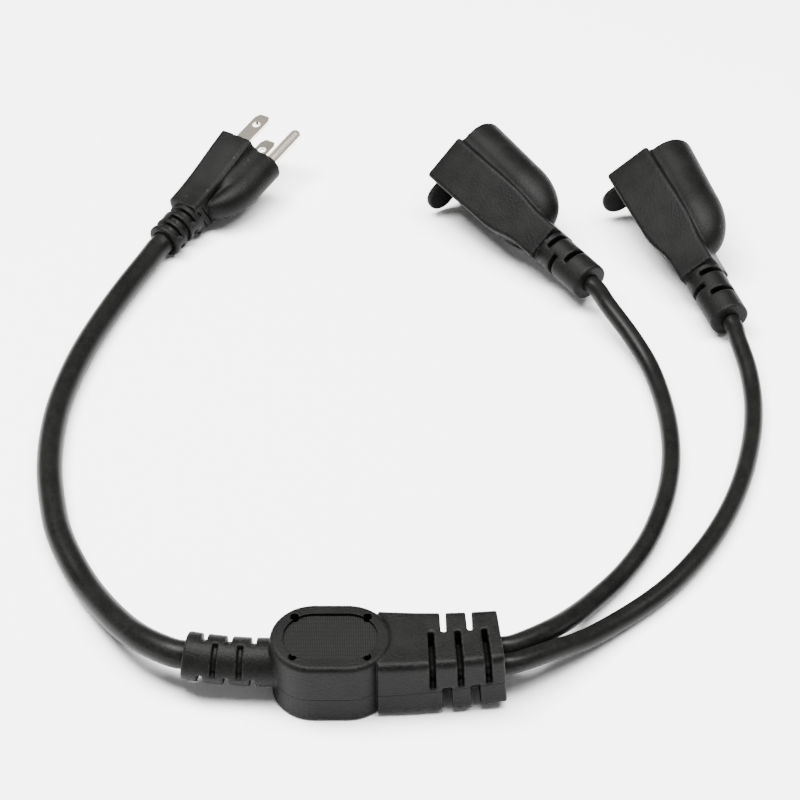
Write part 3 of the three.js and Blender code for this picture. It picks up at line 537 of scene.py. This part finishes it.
plug_end = -PLUG_BODY - PLUG_RELIEF
plug_dome = dome_rings(PLUG_DOME_RADIUS, PIN_OFFSET, PLUG_DOME_LENGTH, PLUG_HOOD_LENGTH, 0)
plug_core = bar(
    "core", plug_end - 1, -PLUG_BODY + 3, FEED_DIAMETER / 2 + PLUG_RELIEF_WALL, PLUG_CORD_Y
)
plug_slots = ring_slots(
    [plug_end + PLUG_SLOT_SETBACK + PLUG_SLOT_PITCH * k for k in range(3)],
    PLUG_SLOT_WIDTH, plug_core, PLUG_WEB_WIDTH, PLUG_WEB_TURNS, PLUG_CORD_Y,
)
plug_housing = mould(join("plug_housing", [
    loft("box", box_rings(PLUG_BODY, plug_shape, PLUG_FLAT_SLOPE)),
    loft("dome", [(x, circle(y, 0, r)) for x, y, r in plug_dome]),
    loft("fillets", fillet_rings(
        plug_dome, plug_shape, PLUG_HOLLOW, PLUG_HOLLOW_FROM, PLUG_HOLLOW_TO
    )),
    cut(relief_form(plug_end, -PLUG_BODY, PLUG_RELIEF_DIAMETER, PLUG_CORD_Y), plug_slots),
]), PLUG_SKIN, PLUG_SOFTENING)
plug_bore = bar(
    "bore", plug_end - 1, -PLUG_CORD_DEPTH, FEED_DIAMETER / 2 + CORD_GRIP, PLUG_CORD_Y
)
cut(plug_housing, bridge_form(GAP), plug_bore)
for x in FLANK_MARKS:
    mark = block(
        "mark", (-FLANK_MARK_WIDTH / 2, -FLANK_MARK_DEPTH, FLANK_MARK_LOW),
        (FLANK_MARK_WIDTH / 2, FLANK_MARK_DEPTH, FLANK_MARK_HIGH),
    )
    lean = Matrix.Rotation(math.radians(FLANK_MARK_LEAN), 4, "Y")
    mark.data.transform(Matrix.Translation((x, -PLUG_RIDGE, 0)) @ lean)
    cut(plug_housing, mark)
keep_rest(plug_housing)
set_down(plug_housing, plug_matrix)
plug_housing.data.materials.append(housing_vinyl)
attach(plug_housing, "root")
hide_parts("plug_body")


# Outlet contacts and inserts
# Behind each face a hard plastic insert keeps three chambers, each with a contact folded or
# rolled from spring brass. Their meshes are the frame's own.

brass = metal("spring_brass", (0.72, 0.52, 0.25), 0.32)
for number in (1, 2):
    clad(f"outlet_{number}_insert", hard_plastic)
    for contact in ("line", "neutral", "ground"):
        clad(f"outlet_{number}_{contact}_contact", brass)


# Outlet housings
# Soft black vinyl, moulded over the insert and the end of a thin cord. A flat box narrows to a
# neck, with a large dome over the ground socket, a pull lip at the face and a slotted relief.

THIN_DIAMETER = 6.3
OUTLET_PLACES = [
    {"x": 43.1, "y": 239.9, "clear": 0, "yaw": 125.4, "pitch": 3.5, "roll": 41},
    {"x": 111.6, "y": 232.9, "clear": 0.75, "yaw": 108.7, "pitch": 6.5, "roll": 37},
]
OUTLET_BODY, OUTLET_RELIEF, OUTLET_CORD_DEPTH, OUTLET_CORD_Y = 55.8, 22, 30, 0.5
OUTLET_FACE_HALF, OUTLET_NECK_HALF, OUTLET_TAPER_LEAD = 13, 8, 4
OUTLET_BACK, OUTLET_NECK_BACK, OUTLET_RIDGE, OUTLET_NECK_RIDGE = 9.9, 7.3, 8.3, 6.6
OUTLET_WAIST_FROM, OUTLET_WAIST_TO, OUTLET_CORNER = 30, 49, 1.2
OUTLET_DOME_RADIUS, OUTLET_DOME_OFFSET, OUTLET_DOME_TAPER = 9.6, 11, 1.1
OUTLET_DOME_LENGTH, OUTLET_HOOD_LENGTH = 48, 21
OUTLET_HOLLOW, OUTLET_HOLLOW_FROM, OUTLET_HOLLOW_TO = 3.2, -18, -36
OUTLET_RELIEF_DIAMETER, OUTLET_RELIEF_FLAT, RELIEF_WALL = 13.8, 0.35, 0.9
OUTLET_SLOT_SETBACK, OUTLET_SLOT_PITCH, OUTLET_SLOT_WIDTH = 9.6, 4.8, 2.1
OUTLET_SKIN, OUTLET_SOFTENING = 0.34, 5
LIP_RADIUS, LIP_NECK, LIP_THICKNESS = 6, 2.8, 2
INSERT_DEPTH, INSERT_BACK, INSERT_RIDGE, INSERT_HALF = 26, 6.6, 6.4, 10.4
INSERT_CORNER, INSERT_LOBE_RADIUS = 1.6, 6


def quarter_slots(centres, width, lower_width, side, reach, core, split=0, level=0):
    """Cutters for a strain relief: each slot opens two opposite quarters down to the core."""
    cutters = []
    for i, x in enumerate(centres):
        upper = side if i % 2 == 0 else -side
        for way, wide, z0, z1 in (
            (upper, width, level, level + reach), (-upper, lower_width, level - reach, level)
        ):
            y0, y1 = (split, split + reach) if way > 0 else (split - reach, split)
            cutters.append(block("slot", (x - wide / 2, y0, z0), (x + wide / 2, y1, z1)))
    return cut(join("slots", cutters), core)


def outlet_shape(x):
    waist = smootherstep(-x, OUTLET_WAIST_FROM, OUTLET_WAIST_TO)
    taper = smootherstep(-x, -OUTLET_TAPER_LEAD, OUTLET_BODY + OUTLET_TAPER_LEAD)
    return {
        "height": lerp(OUTLET_FACE_HALF, OUTLET_NECK_HALF, taper),
        "back": lerp(OUTLET_BACK, OUTLET_NECK_BACK, waist),
        "ridge": lerp(OUTLET_RIDGE, OUTLET_NECK_RIDGE, waist),
        "radius": OUTLET_CORNER,
    }


def lip_form():
    """A round tongue in line with the face, rooted in the flat back."""
    ring = []
    for degrees in range(-90, 91, 6):
        angle = math.radians(degrees)
        ring.append((
            OUTLET_BACK + LIP_NECK + LIP_RADIUS * math.cos(angle), LIP_RADIUS * math.sin(angle)
        ))
    ring += [(OUTLET_BACK - 2, LIP_RADIUS), (OUTLET_BACK - 2, -LIP_RADIUS)]
    return loft("lip", [(-LIP_THICKNESS, ring), (0, ring)])


def insert_pocket():
    """The insert's box and ground lobe, grown by the gap round them."""
    ring = rounded_box(
        -INSERT_RIDGE - GAP, INSERT_BACK + GAP, -INSERT_HALF - GAP, INSERT_HALF + GAP, INSERT_CORNER
    )
    rear = -INSERT_DEPTH - GAP
    lobe = bar("lobe", rear, PAST_FACE, INSERT_LOBE_RADIUS + GAP, -PIN_OFFSET)
    return loft("pocket", [(rear, ring), (PAST_FACE, ring)]), lobe


def add_outlet(name, matrix):
    end = -OUTLET_BODY - OUTLET_RELIEF
    dome = dome_rings(
        OUTLET_DOME_RADIUS, OUTLET_DOME_OFFSET, OUTLET_DOME_LENGTH, OUTLET_HOOD_LENGTH,
        OUTLET_DOME_TAPER,
    )
    core = bar(
        "core", end - 1, -OUTLET_BODY + 3, THIN_DIAMETER / 2 + RELIEF_WALL, OUTLET_CORD_Y
    )
    slots = quarter_slots(
        [end + OUTLET_SLOT_SETBACK + OUTLET_SLOT_PITCH * k for k in range(3)],
        OUTLET_SLOT_WIDTH, OUTLET_SLOT_WIDTH, -1, SLOT_REACH, core, OUTLET_CORD_Y,
    )
    relief = relief_form(
        end, -OUTLET_BODY, OUTLET_RELIEF_DIAMETER, OUTLET_CORD_Y, OUTLET_RELIEF_FLAT
    )
    body = mould(join(f"{name}_housing", [
        loft("box", box_rings(OUTLET_BODY, outlet_shape)),
        loft("dome", [(x, circle(y, 0, r)) for x, y, r in dome]),
        loft("fillets", fillet_rings(
            dome, outlet_shape, OUTLET_HOLLOW, OUTLET_HOLLOW_FROM, OUTLET_HOLLOW_TO
        )),
        lip_form(),
        cut(relief, slots),
    ]), OUTLET_SKIN, OUTLET_SOFTENING)
    bore = bar(
        "bore", end - 1, -OUTLET_CORD_DEPTH, THIN_DIAMETER / 2 + CORD_GRIP, OUTLET_CORD_Y
    )
    cut(body, *insert_pocket(), bore)
    keep_rest(body)
    set_down(body, matrix)
    body.data.materials.append(housing_vinyl)
    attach(body, "root")
    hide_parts(f"{name}_body")
    return body


outlet_matrices = [connector_matrix(spot, OUTLET_FACE_HALF, OUTLET_BACK) for spot in OUTLET_PLACES]
outlet_housings = [
    add_outlet(f"outlet_{i + 1}", matrix) for i, matrix in enumerate(outlet_matrices)
]


# Junction core and splices
# Three crimped sleeves of tinned copper join the conductors, and a first shot of vinyl keeps them
# apart under the housing. Their meshes are the frame's own.

core_vinyl = vinyl(
    "core_vinyl", (0.03, 0.03, 0.029), (0.045, 0.045, 0.043), 0.6, rest=False
)
tin = metal("tinned_copper", (0.70, 0.68, 0.65), 0.4)
clad("junction_core", core_vinyl)
for splice in ("line_splice", "neutral_splice", "ground_splice"):
    clad(splice, tin)


# Junction housing
# Soft black vinyl, moulded over the core: a tall pad with a knurled recess and four pin holes, a
# round collar for the thick cord and a rectangular tail for the thin pair. Both ends are flexed.

BORE_CLEARANCE = 0.5
JUNCTION_LENGTH, JUNCTION_WIDTH, JUNCTION_HEIGHT = 35.3, 25.4, 22.4
RECESS_DEPTH, RECESS_MARGIN = 1, 3.9
PIN_HOLE_X, PIN_HOLE_Y, PIN_HOLE_RADIUS, PIN_HOLE_FLOOR = 10.6, 7.6, 1.3, 17.4
COLLAR_RADIUS, COLLAR_LENGTH, COLLAR_SWING, COLLAR_LIFT = 7.1, 25, 8, 5.2
COLLAR_SLOT_SETBACK, COLLAR_SLOT_PITCH, COLLAR_SLOT_WIDTH, COLLAR_SLOT_REACH = 5.3, 3.7, 1.6, 8
TAIL_LENGTH, TAIL_SWING, TAIL_LIFT = 32, 5.3, 4
TAIL_ROOT_WIDTH, TAIL_END_WIDTH, TAIL_ROOT_HEIGHT, TAIL_END_HEIGHT = 22.4, 19.4, 21, 20.4
TAIL_EDGE, TAIL_STEPS = 2.2, 12
TAIL_SLOT_SETBACK, TAIL_SLOT_PITCH, TAIL_SLOT_REACH, TAIL_SLOT_SPLIT = 4.7, 3.95, 24, 2.2
TAIL_SLOT_WIDTH, TAIL_LOWER_SLOT_WIDTH = 1.8, 2.7
JUNCTION_SLOTS = 5
JUNCTION_SKIN, JUNCTION_SOFTENING = 0.36, 3
CORE_LENGTH = 25.2
CORD_PAIR_Y = (THIN_DIAMETER + GAP) / 2
KNURL_TURN = 6.2


def stadium(length, width, steps=24):
    r = width / 2
    reach = length / 2 - r
    ring = []
    for centre, start in ((reach, -90), (-reach, 90)):
        for k in range(steps + 1):
            angle = math.radians(start + 180 * k / steps)
            ring.append((centre + r * math.cos(angle), r * math.sin(angle)))
    return ring


def upright(name, levels):
    """A closed skin over rings in the XY plane, each as (z, ring)."""
    made = loft(name, levels)
    made.data.transform(Matrix(((0, 1, 0, 0), (0, 0, 1, 0), (1, 0, 0, 0), (0, 0, 0, 1))))
    return made


def flex(point, way, length, swing, lift):
    """The junction's ends flex with their cords, along an arc towards +Y and upwards."""
    x, y, z = point
    root, level = JUNCTION_LENGTH / 2, JUNCTION_HEIGHT / 2
    run = max(way * x - root, 0)
    bent = min(run, length)
    yaw = math.radians(swing) * bent / length
    pitch = math.radians(lift) * bent / length
    rise = z - level
    out = run - y * math.sin(yaw) - rise * math.sin(pitch)
    return (
        way * (root + out) if run > 0 else x,
        y * math.cos(yaw) + bent * math.sin(yaw / 2) + (run - bent) * math.sin(yaw),
        level + rise * math.cos(pitch) + bent * math.sin(pitch / 2) + (run - bent) * math.sin(pitch),
    )


def flex_tail(point):
    return flex(point, 1, TAIL_LENGTH, TAIL_SWING, TAIL_LIFT)


def flex_collar(point):
    return flex(point, -1, COLLAR_LENGTH, COLLAR_SWING, COLLAR_LIFT)


def pad_form():
    """The tall pad, with a tight edge below and a rolled one above."""
    top = JUNCTION_HEIGHT
    levels = ((0, 1), (0.5, 0), (top - 1.2, 0), (top - 0.4, 0.8), (top, 2.2))
    return upright("pad", [
        (z, stadium(JUNCTION_LENGTH - less, JUNCTION_WIDTH - less)) for z, less in levels
    ])


def collar_form(end, root, level):
    """The round collar, slotted down to a sleeve round the thick cord."""
    steps = ((end, 0.5), (end + 0.4, 0.1), (end + 0.9, 0), (root, 0))
    collar = loft("collar", [(x, circle(0, level, COLLAR_RADIUS - less)) for x, less in steps])
    core = bar("core", end - 1, root - 3, FEED_DIAMETER / 2 + RELIEF_WALL, 0, level)
    centres = [end + COLLAR_SLOT_SETBACK + COLLAR_SLOT_PITCH * k for k in range(JUNCTION_SLOTS)]
    return cut(collar, quarter_slots(
        centres, COLLAR_SLOT_WIDTH, COLLAR_SLOT_WIDTH, 1, COLLAR_SLOT_REACH, core, level=level
    ))


def tail_form(root, end, level):
    """The rectangular tail, slotted down to a sleeve round the thin pair."""
    rings = []
    for k in range(TAIL_STEPS + 1):
        x = lerp(root - 4, end, k / TAIL_STEPS)
        share = (x - root) / TAIL_LENGTH
        w = lerp(TAIL_ROOT_WIDTH, TAIL_END_WIDTH, share) / 2
        h = lerp(TAIL_ROOT_HEIGHT, TAIL_END_HEIGHT, share) / 2
        rings.append((x, rounded_box(-w, w, level - h, level + h, TAIL_EDGE)))
    reach = THIN_DIAMETER / 2 + RELIEF_WALL
    side = CORD_PAIR_Y + reach
    ring = rounded_box(-side, side, level - reach, level + reach, reach / 2)
    core = loft("core", [(root - 1, ring), (end + 1, ring)])
    first = end - TAIL_SLOT_SETBACK - (JUNCTION_SLOTS - 1) * TAIL_SLOT_PITCH
    return cut(loft("tail", rings), quarter_slots(
        [first + TAIL_SLOT_PITCH * k for k in range(JUNCTION_SLOTS)],
        TAIL_SLOT_WIDTH, TAIL_LOWER_SLOT_WIDTH, -1, TAIL_SLOT_REACH, core, TAIL_SLOT_SPLIT, level,
    ))


def junction_relief(made):
    """The parting line round the sides and the fine diamond knurl on the recess floor."""
    slope = made.x.between(8, 50) * 1.4 + 9.4
    line = abs(made.z - slope).between(0.3, 0.1) * made.x.between(-18.5, -17.5)
    recess = abs(made.x).between(14.2, 13.9) * abs(made.y).between(9.1, 8.8)
    # Mask of the recess floor, which is drawn darker as painted shade.
    floor = made.z.between(21.6, 21.45) * made.z.between(20.4, 20.6) * recess
    across = ((made.x + made.y) * KNURL_TURN).math("SINE")
    along = ((made.x - made.y) * KNURL_TURN).math("SINE")
    knurl = (across * along).between(-0.3, 0.5) * floor
    # After the height: painted shade on the recess floor, with the parting line drawn dark, then a
    # painted highlight on the knurl tops.
    return knurl * 0.9 - line * 0.9, line + floor * 0.7, knurl * 0.35


junction_vinyl = vinyl(
    "junction_vinyl", HOUSING_LOW, HOUSING_HIGH, HOUSING_ROUGHNESS, marks=junction_relief
)

cord_level = JUNCTION_HEIGHT / 2
pad_half = JUNCTION_LENGTH / 2
collar_end, tail_end = -pad_half - COLLAR_LENGTH, pad_half + TAIL_LENGTH
junction_housing = mould(join("junction_housing", [
    pad_form(),
    collar_form(collar_end, -pad_half + 4, cord_level),
    tail_form(pad_half, tail_end, cord_level),
]), JUNCTION_SKIN, JUNCTION_SOFTENING)
above = JUNCTION_HEIGHT + 1
rim = stadium(JUNCTION_LENGTH - 2 * RECESS_MARGIN, JUNCTION_WIDTH - 2 * RECESS_MARGIN)
cut(junction_housing, upright("recess", [(JUNCTION_HEIGHT - RECESS_DEPTH, rim), (above, rim)]))
for sx, sy in ((-1, -1), (-1, 1), (1, -1), (1, 1)):
    ring = circle(sx * PIN_HOLE_X, sy * PIN_HOLE_Y, PIN_HOLE_RADIUS, 32)
    cut(junction_housing, upright("hole", [(PIN_HOLE_FLOOR, ring), (above, ring)]))
feed_radius, thin_radius = FEED_DIAMETER / 2 + BORE_CLEARANCE, THIN_DIAMETER / 2 + BORE_CLEARANCE
cut(junction_housing, bar("bore", collar_end - 1, -CORE_LENGTH / 2, feed_radius, 0, cord_level))
for side in (-1, 1):
    cut(junction_housing, bar(
        "bore", CORE_LENGTH / 2, tail_end + 1, thin_radius, side * CORD_PAIR_Y, cord_level
    ))
keep_rest(junction_housing)
for vertex in junction_housing.data.vertices:
    vertex.co = flex_tail(flex_collar(vertex.co))
set_down(junction_housing, Matrix.Identity(4))
junction_housing.data.materials.append(junction_vinyl)
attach(junction_housing, "root")
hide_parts("junction_body")


# Cords
# Round black vinyl jackets over three conductors, with a smooth, slightly glossy skin. Each runs
# in one line from inside its connector, down to the table and along it, and up to the core.

CORD_LOW, CORD_HIGH, CORD_ROUGHNESS = (0.002, 0.002, 0.002), (0.0045, 0.0045, 0.004), 0.36
CORD_GRAIN = 0.15

# Points of the free cords between their housings, in metres
FEED_ROUTE = [
    (-0.0721, 0.1968, 0.0056), (-0.0792, 0.1802, 0.0049), (-0.0852, 0.1640, 0.00435),
    (-0.0900, 0.1477, 0.00435), (-0.0933, 0.1319, 0.00435), (-0.0952, 0.1166, 0.00435),
    (-0.0954, 0.1019, 0.00435), (-0.0942, 0.0876, 0.00435), (-0.0916, 0.0737, 0.00435),
    (-0.0880, 0.0603, 0.00435), (-0.0823, 0.0473, 0.0043), (-0.0752, 0.0347, 0.0046),
    (-0.0635, 0.0174, 0.0084), (-0.0553, 0.0085, 0.0110),
]
OUTLET_ROUTES = [
    [
        (0.0933, 0.1648, 0.0105), (0.1006, 0.1511, 0.0076), (0.1059, 0.1391, 0.0048),
        (0.1088, 0.1254, 0.0034), (0.1099, 0.1104, 0.0033), (0.1093, 0.0958, 0.0033),
        (0.1069, 0.0817, 0.0033), (0.1028, 0.0681, 0.0033), (0.0970, 0.0548, 0.0033),
        (0.0887, 0.0420, 0.0033), (0.0797, 0.0308, 0.0046), (0.0716, 0.0209, 0.0074),
        (0.0629, 0.0119, 0.0108),
    ],
    [
        (0.1376, 0.1514, 0.0070), (0.1396, 0.1374, 0.0052), (0.1399, 0.1246, 0.0036),
        (0.1382, 0.1104, 0.0033), (0.1348, 0.0958, 0.0033), (0.1302, 0.0817, 0.0033),
        (0.1242, 0.0681, 0.0033), (0.1166, 0.0548, 0.0033), (0.1071, 0.0420, 0.0033),
        (0.0983, 0.0328, 0.0033), (0.0864, 0.0225, 0.0040), (0.0746, 0.0127, 0.0064),
        (0.0640, 0.0050, 0.0102),
    ],
]


def smooth_line(points, count=10):
    """A centripetal curve through the points, sampled finely."""
    points = [Vector(p) for p in points]
    ends = [2 * points[0] - points[1], *points, 2 * points[-1] - points[-2]]
    line = []
    for i in range(len(points) - 1):
        p0, p1, p2, p3 = ends[i:i + 4]
        d0, d1, d2 = ((b - a).length ** 0.5 for a, b in ((p0, p1), (p1, p2), (p2, p3)))
        t1 = ((p1 - p0) / d0 - (p2 - p0) / (d0 + d1) + (p2 - p1) / d1) * d1
        t2 = ((p2 - p1) / d1 - (p3 - p1) / (d1 + d2) + (p3 - p2) / d2) * d1
        square, cube = 3 * (p2 - p1) - 2 * t1 - t2, 2 * (p1 - p2) + t1 + t2
        for k in range(count):
            t = k / count
            line.append(p1 + t1 * t + square * t ** 2 + cube * t ** 3)
    return [*line, points[-1]]


def lead_out(matrix, depth, body, relief, y):
    """Points along a connector's cord axis, from inside its housing to just past its relief."""
    end = -body - relief
    return [matrix @ Vector((x, y, 0)) * MM for x in (-depth, -body, end, end - 4)]


def lead_in(way, length, y, bend):
    """Points along the junction's axis, from just past one end to the inner core."""
    runs = (length + 3, length, length * 0.75, length / 2, length / 4, 0)
    steps = [JUNCTION_LENGTH / 2 + run for run in runs] + [CORE_LENGTH / 2 + 1]
    return [Vector(bend((way * x, y, JUNCTION_HEIGHT / 2))) * MM for x in steps]


def add_cord(name, points, diameter, material):
    line = smooth_line(points)
    curve = bpy.data.curves.new(name, "CURVE")
    curve.dimensions = "3D"
    curve.bevel_depth = diameter * MM / 2
    curve.bevel_resolution = 10
    curve.use_fill_caps = True
    spline = curve.splines.new("POLY")
    spline.points.add(len(line) - 1)
    for point, place in zip(spline.points, line):
        point.co = (*place, 1)
    spline.use_smooth = True
    made = bpy.data.objects.new(name, curve)
    bpy.context.scene.collection.objects.link(made)
    curve.materials.append(material)
    length = sum((b - a).length for a, b in zip(line, line[1:]))
    return made, length


cord_vinyl = vinyl("cord_vinyl", CORD_LOW, CORD_HIGH, CORD_ROUGHNESS, CORD_GRAIN, rest=False)

feed, feed_length = add_cord("feed_jacket", [
    *lead_out(plug_matrix, PLUG_CORD_DEPTH, PLUG_BODY, PLUG_RELIEF, PLUG_CORD_Y),
    *FEED_ROUTE,
    *lead_in(-1, COLLAR_LENGTH, 0, flex_collar),
], FEED_DIAMETER, cord_vinyl)
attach(feed, "root")
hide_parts("feed_cord")
lead_in(-1, COLLAR_LENGTH, 0, flex_collar)[-1]
outlet_parts = ("insert", "line_contact", "neutral_contact", "ground_contact")
for i, matrix in enumerate(outlet_matrices):
    side = 1 if i == 0 else -1
    inner = lead_in(1, TAIL_LENGTH, side * CORD_PAIR_Y, flex_tail)
    cord, length = add_cord(f"outlet_{i + 1}_jacket", [
        *lead_out(matrix, OUTLET_CORD_DEPTH, OUTLET_BODY, OUTLET_RELIEF, OUTLET_CORD_Y),
        *OUTLET_ROUTES[i],
        *inner,
    ], THIN_DIAMETER, cord_vinyl)
    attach(cord, "root")
    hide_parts(f"outlet_{i + 1}_cord")
    inner_pieces = [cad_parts[f"outlet_{i + 1}_{part}"] for part in outlet_parts]
